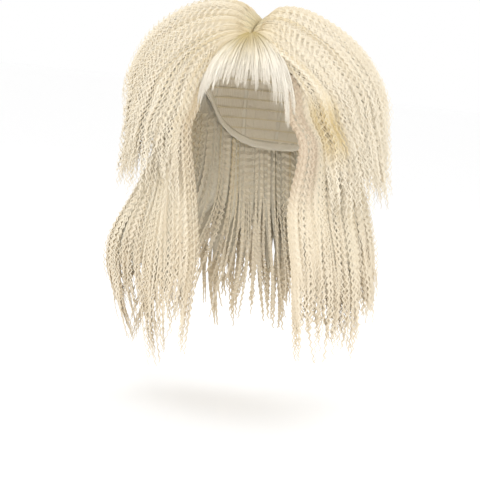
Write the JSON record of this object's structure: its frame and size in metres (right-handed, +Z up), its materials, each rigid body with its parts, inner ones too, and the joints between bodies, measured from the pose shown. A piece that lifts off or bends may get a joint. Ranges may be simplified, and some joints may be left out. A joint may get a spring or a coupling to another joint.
{
  "type": "crimped wig",
  "caption": "Long blonde crimped party wig in its worn form: a cap, a short smooth see-through fringe and two layers of crimped locks either side of a parting.",
  "frame": {"origin": "top of the inside of the cap, where the crown of the head carries the wig", "axes": "+Z up through the crown, -Y out of the face opening, +X towards the wearer's left"},
  "size_m": [0.3339, 0.2595, 0.4351],
  "materials": {
    "cap_net": "elastic weft net, matt",
    "fringe_hair": "smooth synthetic fibre, satin",
    "crimped_hair": "crimped synthetic fibre, soft sheen"
  },
  "bodies": {
    "root": {"cap": "cap_net", "fringe_right_sweep": "fringe_hair", "fringe_centre": "fringe_hair", "fringe_left_lock": "fringe_hair", "upper_front_right": "crimped_hair", "upper_side_right": "crimped_hair", "upper_rear_right": "crimped_hair", "upper_back_right": "crimped_hair", "lower_front_right": "crimped_hair", "lower_side_right": "crimped_hair", "lower_rear_right": "crimped_hair", "lower_back_right": "crimped_hair", "upper_front_left": "crimped_hair", "upper_side_left": "crimped_hair", "upper_rear_left": "crimped_hair", "upper_back_left": "crimped_hair", "lower_front_left": "crimped_hair", "lower_side_left": "crimped_hair", "lower_rear_left": "crimped_hair", "lower_back_left": "crimped_hair"}
  },
  "joints": []
}
